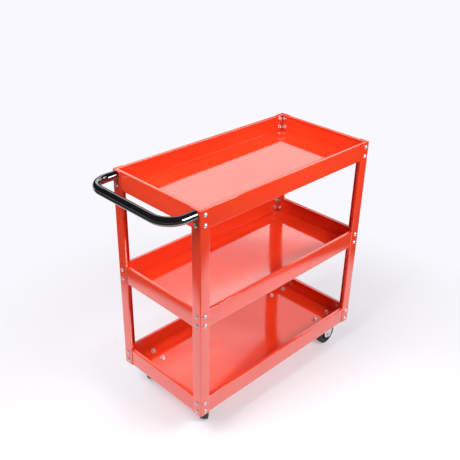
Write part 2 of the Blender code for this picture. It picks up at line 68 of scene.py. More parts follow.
# ---- sizes repeated from the CAD source ----------------------------------------------------
GAP = 0.0003
POST_LEG = 0.034
POST_SHEET = 0.002
POST_LIP = 0.009
TRAY_INSET = POST_SHEET + GAP
TRAY_SHEET = 0.0012
TRAY_FLANGE = 0.011
TRAY_FLANGE_LIP = 0.003
SCREW_FROM_CORNER = 0.0165
SCREW_FROM_RIM = 0.0135
SCREW_SPACING = 0.030
HANDLE_RADIUS = 0.0127
HANDLE_WALL = 0.0015
HANDLE_REACH = 0.089
HANDLE_BEND = 0.0565
CASTER_X = 0.292
CASTER_Y = 0.1265
CASTER_HOLES_X = 0.064
CASTER_HOLES_Y = 0.0475
PLATE_LENGTH = 0.084
PLATE_WIDTH = 0.066
PLATE_SHEET = 0.0025
SWIVEL_TRAIL = 0.030
SWIVEL_HEADING = math.radians(42)
WHEEL_RADIUS = 0.0375
TYRE_WIDTH = 0.0245
TYRE_SEAT_RADIUS = 0.0268
HUB_WIDTH = 0.0278
FORK_SHEET = 0.0025
FORK_INSIDE = 0.030
AXLE_DROP = BASE_Z - WHEEL_RADIUS
BALL_RADIUS = 0.0025
BALL_CIRCLE = 0.017
CUP_OUTER_RADIUS = 0.0215
CUP_SHEET = 0.0015

# ---- sizes of details that the CAD source leaves plain -------------------------------------
TIP_RADIUS = 0.0002             # the flat that ends a dome, in place of a point
EDGE_BEVEL = 0.0005
BEVEL_SEGMENTS = 2
BEVEL_ANGLE = math.radians(35)
SCREW_HEAD_RADIUS = 0.0062
SCREW_HEAD_RIM = 0.0008
SCREW_HEAD_HEIGHT = 0.0044
RECESS_HALF_LENGTH = 0.0030
RECESS_HALF_WIDTH = 0.0006
RECESS_FLOOR = 0.0026
RECESS_TOP = 0.0060
HEXAGON_CHAMFER = 0.0006
HEXAGON_BASE = 0.0010           # a hexagon starts inside its flange or washer
FRAME_NUT = {"size": 0.0100, "radius": 0.003, "height": 0.0062}
CASTER_HEAD = {"size": 0.0125, "height": 0.0062}
CASTER_CAP = {"size": 0.0130, "height": 0.0105}
FRAME_SCREW_SPIN = 37           # degrees between one screw's recess and the next one's
CASTER_SPIN = 23
CASTER_SPIN_START = 11
AXLE_HEXAGON = 0.0130
AXLE_RADIUS = 0.004
AXLE_HOLE_RADIUS = 0.0043
AXLE_HEAD_HEIGHT = 0.0053
AXLE_END = 0.0085
AXLE_NUT_HEIGHT = 0.0060
BUSH_RADIUS = 0.0055
HANDLE_SIDES = 40
HANDLE_BEND_STEPS = 18
TRAY_CORNER_RADIUS = 0.0045
TRAY_INSIDE_RADIUS = 0.0008
PLATE_CORNER_RADIUS = 0.007
RIB_COUNT = 8
BALL_COUNT = 16

# ---- studio sizes --------------------------------------------------------------------------
STUDIO_WHITE = (0.955, 0.94, 0.99, 1.0)
FLOOR_REACH = 14.0
GLOW_SHARE = 0.35               # how much of the floor's light is its own, near the cart
GLOW_START = 0.45               # from here out the share rises, and at GLOW_END it is all
GLOW_END = 1.15
LIT_RADIUS = 0.95               # the dark cards' inner edge, half way through its soft fade
LIT_FADE = 0.12
CARD_REACH = 7.0
CARD_HEIGHT = 0.002
CARD_START = 115                # degrees about the cart's middle
CARD_SWEEP = 242
CARD_STEPS = 30


# ---- materials -----------------------------------------------------------------------------
class Paint:
    """A Principled material and short ways to add procedural nodes to it."""

    def __init__(self, name, **sockets):
        self.material = bpy.data.materials.new(name)
        self.material.use_nodes = True
        self.nodes = self.material.node_tree.nodes
        self.links = self.material.node_tree.links
        self.shader = self.nodes["Principled BSDF"]
        for socket, value in sockets.items():
            self.shader.inputs[socket.replace("_", " ")].default_value = value
        self.position = self.nodes.new("ShaderNodeTexCoord").outputs["Object"]

    def noise(self, scale, detail=2.0, roughness=0.5):
        node = self.nodes.new("ShaderNodeTexNoise")
        node.inputs["Scale"].default_value = scale
        node.inputs["Detail"].default_value = detail
        node.inputs["Roughness"].default_value = roughness
        self.links.new(self.position, node.inputs["Vector"])
        return node.outputs["Fac"]

    def ramp(self, factor, stops):
        node = self.nodes.new("ShaderNodeValToRGB")
        elements = node.color_ramp.elements
        while len(elements) < len(stops):
            elements.new(0.5)
        for element, (place, color) in zip(elements, stops):
            element.position = place
            element.color = (*color, 1.0)
        self.links.new(factor, node.inputs["Fac"])
        return node.outputs["Color"]

    def spread(self, factor, low, high, start=0.3, end=0.7):
        """Map the middle of a noise to a range of values."""
        node = self.nodes.new("ShaderNodeMapRange")
        for socket, value in zip(("From Min", "From Max", "To Min", "To Max"),
                                 (start, end, low, high)):
            node.inputs[socket].default_value = value
        self.links.new(factor, node.inputs["Value"])
        return node.outputs["Result"]

    def fade_out(self, low, high, start, end):
        """Smooth step from low to high over a range of distances from the cart's middle."""
        offset = self.nodes.new("ShaderNodeVectorMath")
        offset.operation = "SUBTRACT"
        offset.inputs[1].default_value = (BODY_MID_X, 0.0, 0.0)
        self.links.new(self.position, offset.inputs[0])
        distance = self.nodes.new("ShaderNodeVectorMath")
        distance.operation = "LENGTH"
        self.links.new(offset.outputs["Vector"], distance.inputs[0])
        fade = self.spread(distance.outputs["Value"], low, high, start, end)
        fade.node.interpolation_type = "SMOOTHSTEP"
        return fade

    def set_color(self, color):
        self.links.new(color, self.shader.inputs["Base Color"])

    def set_roughness(self, value):
        self.links.new(value, self.shader.inputs["Roughness"])

    def add_bump(self, height, strength, distance):
        """Add a bump on top of those the material has."""
        node = self.nodes.new("ShaderNodeBump")
        node.inputs["Strength"].default_value = strength
        node.inputs["Distance"].default_value = distance
        self.links.new(height, node.inputs["Height"])
        normal = self.shader.inputs["Normal"]
        if normal.is_linked:
            self.links.new(normal.links[0].from_socket, node.inputs["Normal"])
        self.links.new(node.outputs["Normal"], normal)


def red_paint():
    """Glossy powder coat: fine orange peel, faint waviness of the sheet, a little dust."""
    paint = Paint("red_powder_coat", Metallic=0.0, IOR=2.0, Coat_Weight=0.6,
                  Coat_Roughness=0.05)
    tone = paint.noise(9.0, detail=4.0)
    paint.set_color(paint.ramp(tone, (
        (0.30, (0.83, 0.047, 0.011)),
        (0.55, (0.87, 0.053, 0.014)),
        (0.80, (0.90, 0.060, 0.018)),
    )))
    paint.set_roughness(paint.spread(paint.noise(34.0, detail=5.0), 0.07, 0.13))
    paint.add_bump(paint.noise(5.0, detail=1.0), 0.012, 0.004)
    paint.add_bump(paint.noise(420.0, detail=2.0), 0.05, 0.0003)
    return paint.material


def black_paint():
    """Glossy black enamel on the handle."""
    paint = Paint("black_gloss_paint", Metallic=0.0, IOR=1.9, Coat_Weight=1.0,
                  Coat_IOR=1.8, Coat_Roughness=0.02)
    tone = paint.noise(60.0, detail=4.0)
    paint.set_color(paint.ramp(tone, (
        (0.30, (0.0045, 0.0045, 0.005)),
        (0.75, (0.009, 0.009, 0.010)),
    )))
    paint.set_roughness(paint.spread(paint.noise(45.0, detail=5.0), 0.04, 0.09))
    paint.add_bump(paint.noise(380.0, detail=2.0), 0.02, 0.0003)
    return paint.material


def zinc():
    """Bright zinc plating with a faint cloudy spangle."""
    paint = Paint("bright_zinc", Metallic=0.6)
    tone = paint.noise(55.0, detail=3.0)
    paint.set_color(paint.ramp(tone, (
        (0.25, (0.70, 0.71, 0.73)),
        (0.55, (0.76, 0.77, 0.79)),
        (0.85, (0.81, 0.81, 0.81)),
    )))
    paint.set_roughness(paint.spread(paint.noise(80.0, detail=3.0), 0.25, 0.33))
    paint.add_bump(paint.noise(420.0, detail=2.0), 0.015, 0.0002)
    return paint.material


def rubber():
    """Moulded black rubber, dusty where it rolls."""
    paint = Paint("black_rubber", Metallic=0.0)
    tone = paint.noise(90.0, detail=6.0, roughness=0.65)
    paint.set_color(paint.ramp(tone, (
        (0.30, (0.016, 0.017, 0.018)),
        (0.60, (0.026, 0.027, 0.029)),
        (0.85, (0.050, 0.050, 0.052)),
    )))
    paint.set_roughness(paint.spread(paint.noise(130.0, detail=5.0), 0.55, 0.78))
    paint.add_bump(paint.noise(700.0, detail=3.0), 0.18, 0.0003)
    return paint.material


def hub_plastic():
    """Satin moulded plastic of the wheel cores."""
    paint = Paint("black_plastic", Metallic=0.0)
    tone = paint.noise(120.0, detail=4.0)
    paint.set_color(paint.ramp(tone, (
        (0.30, (0.014, 0.014, 0.016)),
        (0.80, (0.026, 0.026, 0.028)),
    )))
    paint.set_roughness(paint.spread(paint.noise(200.0, detail=4.0), 0.36, 0.52))
    paint.add_bump(paint.noise(1100.0, detail=2.0), 0.12, 0.0002)
    return paint.material


MATERIALS = {
    "red_paint": red_paint(),
    "black_paint": black_paint(),
    "zinc": zinc(),
    "rubber": rubber(),
    "hub_plastic": hub_plastic(),
}


# ---- pieces --------------------------------------------------------------------------------
def add_piece(name, shape, slot, body, replaced=(), smooth=40, bevel=0.0):
    """Turn a bmesh in the row frame into a piece that rides on a CAD body."""
    bmesh.ops.recalc_face_normals(shape, faces=shape.faces)
    mesh = bpy.data.meshes.new(name)
    shape.to_mesh(mesh)
    shape.free()
    mesh.materials.append(MATERIALS[slot])
    item = bpy.data.objects.new(name, mesh)
    bpy.context.scene.collection.objects.link(item)
    if bevel:
        modifier = item.modifiers.new("edges", "BEVEL")
        modifier.width = bevel
        modifier.segments = BEVEL_SEGMENTS
        modifier.limit_method = "ANGLE"
        modifier.angle_limit = BEVEL_ANGLE
        apply_modifiers(item)
    item.data.shade_smooth()
    item.data.set_sharp_from_angle(angle=math.radians(smooth))
    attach(item, body)
    if replaced:
        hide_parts(*replaced)
    return item


def apply_modifiers(item):
    """Replace the mesh by its evaluated shape."""
    graph = bpy.context.evaluated_depsgraph_get()
    mesh = bpy.data.meshes.new_from_object(item.evaluated_get(graph))
    item.modifiers.clear()
    old = item.data
    item.data = mesh
    bpy.data.meshes.remove(old)


def carved(shape, cutters, operation="DIFFERENCE"):
    """Cut, join or intersect a bmesh with others and return the result."""
    base = temporary(shape)
    for cutter in cutters:
        tool = temporary(cutter)
        modifier = base.modifiers.new("carve", "BOOLEAN")
        modifier.operation = operation
        modifier.object = tool
        apply_modifiers(base)
        bpy.data.objects.remove(tool, do_unlink=True)
    result = bmesh.new()
    result.from_mesh(base.data)
    bpy.data.objects.remove(base, do_unlink=True)
    return result


def temporary(shape):
    """Put a bmesh into the scene for a modifier to use; the bmesh is used up."""
    bmesh.ops.recalc_face_normals(shape, faces=shape.faces)
    mesh = bpy.data.meshes.new("temporary")
    shape.to_mesh(mesh)
    shape.free()
    item = bpy.data.objects.new("temporary", mesh)
    bpy.context.scene.collection.objects.link(item)
    bpy.context.view_layer.update()
    return item


def gather(parts):
    """Copy (bmesh, matrix) pairs into one bmesh; the sources stay usable."""
    whole = bmesh.new()
    for shape, matrix in parts:
        mesh = bpy.data.meshes.new("gather")
        shape.to_mesh(mesh)
        mesh.transform(matrix)
        whole.from_mesh(mesh)
        bpy.data.meshes.remove(mesh)
    return whole


def moved(shape, *matrices):
    for matrix in matrices:
        shape.transform(matrix)
    return shape


# ---- shape helpers -------------------------------------------------------------------------
def arc(centre, radius, start, end, steps):
    """Points on an arc, angles in degrees, both ends included."""
    angles = [math.radians(start + (end - start) * i / steps) for i in range(steps + 1)]
    return [(centre[0] + radius * math.cos(a), centre[1] + radius * math.sin(a)) for a in angles]


def bridge(shape, rings, closed=False):
    """Join rings of equal length; an open stack gets flat ends."""
    pairs = list(zip(rings, rings[1:]))
    if closed:
        pairs.append((rings[-1], rings[0]))
    else:
        shape.faces.new(rings[0])
        shape.faces.new(rings[-1])
    count = len(rings[0])
    for lower, upper in pairs:
        for i in range(count):
            j = (i + 1) % count
            shape.faces.new((lower[i], lower[j], upper[j], upper[i]))


def prism(outline, low, high, axes="XYZ"):
    """Extrude a flat outline; axes says where its u, its v and the height go."""
    shape = bmesh.new()
    order = ["XYZ".index(letter) for letter in axes]
    rings = []
    for height in (low, high):
        ring = []
        for u, v in outline:
            spot = [0.0, 0.0, 0.0]
            for index, value in zip(order, (u, v, height)):
                spot[index] = value
            ring.append(shape.verts.new(spot))
        rings.append(ring)
    bridge(shape, rings)
    return shape


def box(low, high):
    outline = [(low[0], low[1]), (high[0], low[1]), (high[0], high[1]), (low[0], high[1])]
    return prism(outline, low[2], high[2])


def rounded_rectangle(length, width, radius, steps):
    outline = []
    for quarter, (sx, sy) in enumerate(((1, 1), (-1, 1), (-1, -1), (1, -1))):
        centre = (sx * (length / 2 - radius), sy * (width / 2 - radius))
        outline += arc(centre, radius, 90 * quarter, 90 * quarter + 90, steps)
    return outline


def turned(profile, sides, closed=False):
    """Turn (radius, height) points about Z."""
    shape = bmesh.new()
    rings = []
    for radius, height in profile:
        ring = []
        for i in range(sides):
            angle = 2 * math.pi * i / sides
            spot = (radius * math.cos(angle), radius * math.sin(angle), height)
            ring.append(shape.verts.new(spot))
        rings.append(ring)
    bridge(shape, rings, closed)
    return shape


def pointing(location, direction):
    """Matrix that stands a piece made along +Z at a place, along a direction."""
    turn = Vector((0, 0, 1)).rotation_difference(Vector(direction)).to_matrix().to_4x4()
    return Matrix.Translation(location) @ turn


LIE_DOWN = Matrix.Rotation(math.radians(90), 4, "X")


# ---- fasteners -----------------------------------------------------------------------------
def domed(radius, rim, height):
    """Profile of a dome on a short rim, from the seat up."""
    steps = 6
    sphere = (radius * radius + (height - rim) ** 2) / (2 * (height - rim))
    points = [(radius * 0.97, 0.0), (radius, rim * 0.3)]
    for i in range(steps + 1):
        r = radius * math.cos(math.pi / 2 * i / steps)
        r = max(r, TIP_RADIUS)
        points.append((r, rim + math.sqrt(sphere * sphere - r * r) - sphere + height - rim))
    return points


def screw_head():
    """Domed screw head with a cross recess, its seat at z = 0."""
    head = turned(domed(SCREW_HEAD_RADIUS, SCREW_HEAD_RIM, SCREW_HEAD_HEIGHT), 32)
    cross = []
    for turn in (0, 90):
        bar = box((-RECESS_HALF_LENGTH, -RECESS_HALF_WIDTH, RECESS_FLOOR),
                  (RECESS_HALF_LENGTH, RECESS_HALF_WIDTH, RECESS_TOP))
        cross.append(moved(bar, Matrix.Rotation(math.radians(turn), 4, "Z")))
    return carved(head, cross)


def hexagon(across_flats, low, high):
    """Hexagon block with its corners turned off at both ends."""
    flat = across_flats / 2
    corner = flat / math.cos(math.pi / 6)
    block = turned([(corner, low), (corner, high)], 6)
    turn_down = [
        (flat * 0.94, low - 0.00001),
        (corner + 0.0001, low + HEXAGON_CHAMFER),
        (corner + 0.0001, high - HEXAGON_CHAMFER),
        (flat * 0.94, high + 0.00001),
    ]
    return carved(block, [turned(turn_down, 36)], "INTERSECT")


def thread_end(radius, low, high):
    """Round shank about Z with a chamfered upper end."""
    return turned([(radius, low), (radius, high - 0.0005), (radius - 0.0005, high)], 20)


def flange_hexagon(size, height):
    """Hexagon on a round flange, seat at z = 0, the shape of a bolt head or a nut."""
    flange = turned([(size * 0.64, 0.0), (size * 0.66, 0.0007), (size * 0.52, 0.0015)], 32)
    body = hexagon(size, HEXAGON_BASE, height)
    return gather([(part, Matrix.Identity(4)) for part in (flange, body)])


def flange_nut(size, radius, height):
    """Hexagon flange nut with the screw's end standing out, seat at z = 0."""
    end = thread_end(radius, height - 0.001, height + 0.0016)
    parts = [(part, Matrix.Identity(4)) for part in (flange_hexagon(size, height), end)]
    return gather(parts)


def cap_nut(size, height):
    """Acorn nut on a washer, seat at z = 0."""
    washer = turned([(size * 0.63, 0.0), (size * 0.65, 0.0004), (size * 0.63, 0.0012)], 36)
    body = hexagon(size, HEXAGON_BASE, 0.0058)
    radius = size * 0.44
    rise = radius * 0.8
    steps = 7
    dome = [(radius, 0.0050), (radius, height - rise)]
    for i in range(1, steps + 1):
        angle = math.pi / 2 * i / steps
        dome.append((max(radius * math.cos(angle), TIP_RADIUS),
                     height - rise + rise * math.sin(angle)))
    parts = [(part, Matrix.Identity(4)) for part in (washer, body, turned(dome, 32))]
    return gather(parts)


def frame_screw_places():
    """Seats on the posts: (tray, outward direction, spot, is_handle_screw)."""
    for tray in TRAYS:
        for sx, sy in CORNERS.values():
            for row in range(2):
                height = TRAY_TOPS[tray] - SCREW_FROM_RIM - row * SCREW_SPACING
                end_spot = Vector((
                    BODY_MID_X + sx * HALF_LENGTH, sy * (HALF_WIDTH - SCREW_FROM_CORNER), height))
                side_spot = Vector((
                    BODY_MID_X + sx * (HALF_LENGTH - SCREW_FROM_CORNER), sy * HALF_WIDTH, height))
                holds_handle = tray == "tray_top" and row == 0 and sx < 0
                yield tray, Vector((sx, 0, 0)), end_spot, holds_handle
                yield tray, Vector((0, sy, 0)), side_spot, False


def add_frame_fasteners():
    """Screws and nuts of each tray in the posts, and the two screws that hold the handle."""
    head = screw_head()
    nut = flange_nut(**FRAME_NUT)
    inside = TRAY_INSET + TRAY_SHEET + GAP
    handle_heads = []
    for tray in TRAYS:
        heads = []
        nuts = []
        turn = 0
        for name, direction, spot, holds_handle in frame_screw_places():
            if name != tray:
                continue
            turn += FRAME_SCREW_SPIN
            spin = Matrix.Rotation(math.radians(turn), 4, "Z")
            inner = pointing(spot - direction * inside, -direction) @ spin
            if holds_handle:
                handle_heads.append((head, inner))
                continue
            heads.append((head, pointing(spot + direction * GAP, direction) @ spin))
            nuts.append((nut, inner))
        level = tray.replace("tray_", "")
        replaced = [f"screw_{level}_{corner}" for corner in CORNERS]
        add_piece(f"{level}_tray_screws", gather(heads), "zinc", "frame", replaced)
        add_piece(f"{level}_tray_nuts", gather(nuts), "zinc", "frame")
    add_piece("handle_fixing_screws", gather(handle_heads), "zinc", "frame",
              ["handle_screw_left", "handle_screw_right", "handle_plug_left",
               "handle_plug_right"])


# ---- trays ---------------------------------------------------------------------------------
def tray_section():
    """Half section as (inset from the wall's outer face, height above the underside)."""
    sheet = TRAY_SHEET
    foot = 0.0020
    rim = 0.0015
    top = TRAY_DEPTH
    lip = top - TRAY_FLANGE_LIP
    points = arc((foot, foot), foot, 270, 180, 6)
    points += arc((rim, top - rim), rim, 180, 90, 5)
    points += arc((TRAY_FLANGE - 0.0014, top - 0.0014), 0.0014, 90, 0, 4)
    points += [(TRAY_FLANGE, lip), (TRAY_FLANGE - sheet, lip)]
    points += [(TRAY_FLANGE - sheet, top - sheet - 0.0004)]
    points += [(TRAY_FLANGE - sheet - 0.0004, top - sheet)]
    points += arc((rim, top - rim), rim - sheet, 90, 180, 3)
    points += arc((foot, foot), foot - sheet, 180, 270, 6)
    return points


def add_trays():
    length = 2 * (HALF_LENGTH - TRAY_INSET)
    width = 2 * (HALF_WIDTH - TRAY_INSET)
    for name in TRAYS:
        shape = bmesh.new()
        base = TRAY_TOPS[name] - TRAY_DEPTH
        rings = []
        for inset, height in tray_section():
            radius = max(TRAY_CORNER_RADIUS - inset, TRAY_INSIDE_RADIUS)
            outline = rounded_rectangle(length - 2 * inset, width - 2 * inset, radius, 5)
            rings.append([shape.verts.new((BODY_MID_X + x, y, base + height))
                          for x, y in outline])
        bridge(shape, rings)
        add_piece(name + "_pan", shape, "red_paint", "frame", [name], smooth=50)


# ---- posts ---------------------------------------------------------------------------------
def post_outline(sx, sy):
    """Section of a lipped post, its outer corner at the origin."""
    leg = POST_LEG
    lip = POST_LIP
    sheet = POST_SHEET
    bend = 0.0026
    corner = 0.0030
    inner = 0.0010
    points = arc((lip - inner, leg - inner), inner, 0, 90, 2)
    points += arc((bend, leg - bend), bend, 90, 180, 5)
    points += arc((corner, corner), corner, 180, 270, 6)
    points += arc((leg - bend, bend), bend, 270, 360, 5)
    points += arc((leg - inner, lip - inner), inner, 0, 90, 2)
    points += [(leg - sheet, lip)]
    points += arc((leg - bend, bend), bend - sheet, 0, -90, 3)
    points += arc((corner, corner), corner - sheet, 270, 180, 4)
    points += arc((bend, leg - bend), bend - sheet, 180, 90, 3)
    points += [(lip, leg - sheet)]
    return [(-sx * u, -sy * v) for u, v in points]


def lip_notches(sx, sy):
    """Boxes that take a post's lips away where a tray's walls lie against its legs."""
    shapes = []
    margin = 0.001
    deep = (POST_SHEET, POST_LIP + margin)
    along = (POST_LEG - POST_SHEET - margin, POST_LEG + margin)
    for top in TRAY_TOPS.values():
        low = top - TRAY_DEPTH - margin
        high = top + margin
        for u_range, v_range in ((deep, along), (along, deep)):
            xs = sorted(-sx * u for u in u_range)
            ys = sorted(-sy * v for v in v_range)
            shapes.append(box((xs[0], ys[0], low), (xs[1], ys[1], high)))
    return shapes


def add_posts():
    for corner, (sx, sy) in CORNERS.items():
        shape = prism(post_outline(sx, sy), BASE_Z, TOP_Z)
        shape = carved(shape, lip_notches(sx, sy))
        spot = (BODY_MID_X + sx * HALF_LENGTH, sy * HALF_WIDTH, 0)
        shape.transform(Matrix.Translation(spot))
        name = "post_" + corner
        add_piece(name + "_angle", shape, "red_paint", "frame", [name], smooth=35)


# ---- handle --------------------------------------------------------------------------------
def handle_path():
    """Centreline of the handle as (point, direction of travel) pairs, from -Y to +Y."""
    start_x = BODY_MID_X - HALF_LENGTH - GAP
    bar_x = BODY_MID_X - HALF_LENGTH - HANDLE_REACH
    arm_y = HALF_WIDTH - SCREW_FROM_CORNER
    steps = HANDLE_BEND_STEPS
    path = [(Vector((start_x, -arm_y, 0)), Vector((-1, 0, 0)))]
    for side in (-1, 1):
        centre = Vector((bar_x + HANDLE_BEND, side * (arm_y - HANDLE_BEND), 0))
        for i in range(steps + 1):
            share = i / steps if side < 0 else 1 - i / steps
            angle = math.pi / 2 * share
            out = Vector((-math.sin(angle), side * math.cos(angle), 0))
            along = Vector((side * math.cos(angle), math.sin(angle), 0))
            path.append((centre + out * HANDLE_BEND, along))
    path.append((Vector((start_x, arm_y, 0)), Vector((1, 0, 0))))
    return path


def add_handle():
    """Hollow tube, its outside and then its inside as one closed run of rings."""
    height = TOP_Z - SCREW_FROM_RIM
    shape = bmesh.new()
    up = Vector((0, 0, 1))
    rings = []
    path = handle_path()
    outer = [(point, along, HANDLE_RADIUS) for point, along in path]
    inner = [(point, along, HANDLE_RADIUS - HANDLE_WALL) for point, along in reversed(path)]
    for point, along, radius in outer + inner:
        across = along.cross(up).normalized()
        ring = []
        for i in range(HANDLE_SIDES):
            angle = 2 * math.pi * i / HANDLE_SIDES
            offset = across * math.cos(angle) + up * math.sin(angle)
            ring.append(shape.verts.new(point + offset * radius + up * height))
        rings.append(ring)
    bridge(shape, rings, closed=True)
    add_piece("handle_bar", shape, "black_paint", "frame", ["handle_tube"], smooth=50)


# ---- casters -------------------------------------------------------------------------------
def caster_centre(corner):
    """Middle of a caster plate's place, on the bottom tray's underside."""
    sx, sy = CORNERS[corner]
    return Vector((BODY_MID_X + sx * CASTER_X, sy * CASTER_Y, BASE_Z))


def caster_hole_spots(corner):
    centre = caster_centre(corner)
    return [centre + Vector((sx * CASTER_HOLES_X / 2, sy * CASTER_HOLES_Y / 2, 0))
            for sx in (-1, 1) for sy in (-1, 1)]


def add_caster_fasteners():
    cap = cap_nut(**CASTER_CAP)
    head = flange_hexagon(**CASTER_HEAD)
    caps = []
    heads = []
    for corner in CORNERS:
        for index, spot in enumerate(caster_hole_spots(corner)):
            angle = math.radians(CASTER_SPIN * index + CASTER_SPIN_START)
            spin = Matrix.Rotation(angle, 4, "Z")
            over = Matrix.Translation(spot + Vector((0, 0, TRAY_SHEET + GAP)))
            caps.append((cap, over @ spin))
            under = pointing(spot - Vector((0, 0, 2 * GAP + PLATE_SHEET)), (0, 0, -1))
            heads.append((head, under @ spin))
    add_piece("caster_cap_nuts", gather(caps), "zinc", "frame",
              ["caster_screw_" + corner for corner in CORNERS])
    add_piece("caster_bolt_heads", gather(heads), "zinc", "frame")


def plate_shape():
    outline = rounded_rectangle(PLATE_LENGTH, PLATE_WIDTH, PLATE_CORNER_RADIUS, 6)
    return prism(outline, -GAP - PLATE_SHEET, -GAP)


def wheel_core_shape():
    """Moulded wheel core with a dished web and ribs on both sides, about Z."""
    half = HUB_WIDTH / 2
    bore = 0.0060
    seat = TYRE_SEAT_RADIUS - GAP
    rim_half = 0.0112
    web_half = 0.0032
    side = [
        (bore, half - 0.0004), (bore + 0.0004, half), (0.0108, half), (0.0114, half - 0.0005),
        (0.0120, web_half + 0.0010), (0.0130, web_half), (0.0212, web_half),
        (0.0222, web_half + 0.0010), (0.0228, rim_half - 0.0006), (0.0234, rim_half),
        (seat - 0.0004, rim_half), (seat, rim_half - 0.0004),
    ]
    profile = side + [(r, -z) for r, z in reversed(side)]
    core = turned(profile, 72, closed=True)
    parts = [(core, Matrix.Identity(4))]
    for index in range(RIB_COUNT):
        for level in (-1, 1):
            low, high = sorted((level * (web_half - 0.0005), level * (rim_half - 0.0020)))
            rib = box((0.0112, -0.0009, low), (0.0230, 0.0009, high))
            parts.append((rib, Matrix.Rotation(2 * math.pi / RIB_COUNT * index, 4, "Z")))
    return gather(parts)


def tyre_shape():
    """Tyre with a gently crowned tread, two fine grooves and rounded shoulders, about Z."""
    half = TYRE_WIDTH / 2
    tread = WHEEL_RADIUS
    seat = TYRE_SEAT_RADIUS
    side = [(seat, half - 0.0006), (seat + 0.0006, half)]
    side += [(tread - 0.0065, half), (tread - 0.0058, half - 0.0006), (tread - 0.0050, half)]
    side += [(tread - 0.0034 + 0.0034 * math.sin(a), half - 0.0034 + 0.0034 * math.cos(a))
             for a in (math.pi / 2 * i / 6 for i in range(6))]
    side += [(tread - 0.0002, half - 0.0050), (tread - 0.0001, 0.0042),
             (tread - 0.0010, 0.0038), (tread - 0.0010, 0.0032), (tread, 0.0028)]
    profile = side + [(r, -z) for r, z in reversed(side)]
    return turned(profile, 96, closed=True)


def axle_shapes():
    """Axle bolt with a hexagon head, and its locking nut, about Z."""
    outside = FORK_INSIDE / 2 + FORK_SHEET + GAP
    head = hexagon(AXLE_HEXAGON, outside, outside + AXLE_HEAD_HEIGHT)
    shank = thread_end(AXLE_RADIUS, -outside, outside + AXLE_END)
    shank.transform(Matrix.Rotation(math.pi, 4, "X"))
    bolt = gather([(head, Matrix.Identity(4)), (shank, Matrix.Identity(4))])
    nut_body = hexagon(AXLE_HEXAGON, -outside - AXLE_NUT_HEIGHT, -outside)
    collar = turned([(0.0058, -outside - 0.0058), (0.0056, -outside - 0.0072),
                     (0.0048, -outside - 0.0078)], 32)
    nut = gather([(nut_body, Matrix.Identity(4)), (collar, Matrix.Identity(4))])
    return bolt, nut


def add_wheel(corner, axle_spot, heading, wheel_body, fork_body):
    """Wheel core and tyre on one body; bolt, nut and bush on the one that holds the axle."""
    place = Matrix.Translation(axle_spot) @ Matrix.Rotation(heading, 4, "Z") @ LIE_DOWN
    add_piece("tyre_ring_" + corner, moved(tyre_shape(), place), "rubber", wheel_body,
              ["tyre_" + corner], smooth=32)
    add_piece("wheel_hub_" + corner, moved(wheel_core_shape(), place), "hub_plastic",
              wheel_body, ["wheel_core_" + corner], smooth=35)
    bolt, nut = axle_shapes()
    add_piece("axle_screw_" + corner, moved(bolt, place), "zinc", fork_body,
              ["axle_bolt_" + corner], smooth=30)
    add_piece("axle_lock_nut_" + corner, moved(nut, place), "zinc", fork_body,
              ["axle_nut_" + corner], smooth=30)
    half = FORK_INSIDE / 2 - GAP
    bush = turned([(AXLE_HOLE_RADIUS, -half), (BUSH_RADIUS, -half),
                   (BUSH_RADIUS, half), (AXLE_HOLE_RADIUS, half)], 32, closed=True)
    add_piece("axle_sleeve_" + corner, moved(bush, place), "zinc", fork_body,
              ["axle_bush_" + corner], smooth=40)


def crown_depth():
    """Depth of the fork crown's top face below the caster plate's seat."""
    return GAP + PLATE_SHEET + GAP + 2 * BALL_RADIUS + GAP + CUP_SHEET + GAP


def fork_side_outline():
    """Side view of the swivel fork: crown on top, axle boss behind and below."""
    top = -crown_depth()
    outline = [(-0.022, top + 0.001), (-0.022, top - 0.007), (-0.0205, top - 0.011)]
    outline += arc((SWIVEL_TRAIL, -AXLE_DROP), 0.011, 200, 360, 18)
    outline += arc((0.0275, top - 0.017), 0.009, 0, 62, 5)
    outline += [(0.0250, top - 0.006), (0.022, top + 0.001)]
    return outline


def fork_channel():
    """Inverted U channel with rounded shoulders, along X."""
    inside = FORK_INSIDE / 2
    outside = inside + FORK_SHEET
    top = -crown_depth()
    low = -0.080
    bend = 0.0045
    shoulder = arc((outside - bend, top - bend), bend, 0, 90, 5)
    inner_bend = bend - FORK_SHEET
    hollow = arc((outside - bend, top - bend), inner_bend, 90, 0, 4)
    right = [(inside, low), (outside, low)] + shoulder
    left = [(-u, v) for u, v in reversed(right)]
    inner_left = [(-u, v) for u, v in reversed(hollow)]
    outline = right + left + inner_left + hollow
    return prism(outline, -0.030, 0.050, axes="YZX")


